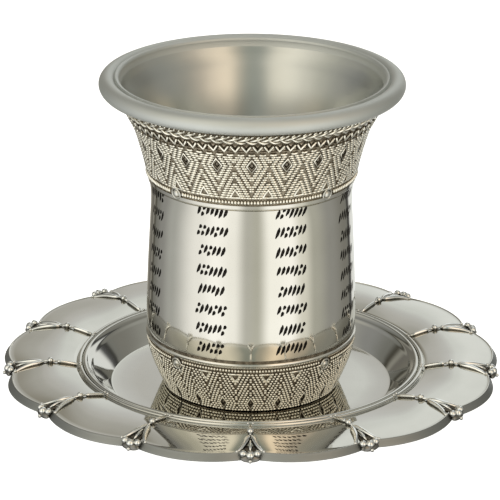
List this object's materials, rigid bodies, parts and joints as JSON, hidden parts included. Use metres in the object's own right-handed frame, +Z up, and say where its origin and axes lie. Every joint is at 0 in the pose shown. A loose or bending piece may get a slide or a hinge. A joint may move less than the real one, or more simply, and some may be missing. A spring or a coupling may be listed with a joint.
{
  "type": "kiddush cup",
  "caption": "Flared kiddush cup with a rolled rim, an inner lining and beaded bands, standing in the well of its matching petal-edged saucer.",
  "frame": {"origin": "centre of the saucer's flat foot, on the common axis of cup and saucer", "axes": "+Z up along the cup's axis, -Y towards the front, where one of the saucer's dividers lies, +X to the right seen from the front"},
  "size_m": [0.13, 0.131, 0.0857],
  "materials": {
    "shell_metal": "polished nickel with dark oxidised recesses in the beaded bands and the engraving",
    "liner_metal": "satin, turned",
    "saucer_metal": "polished nickel with dark oxidised hollows in the cast dividers"
  },
  "bodies": {
    "root": {"cup_shell": "shell_metal", "cup_liner": "liner_metal", "saucer": "saucer_metal"}
  },
  "joints": []
}
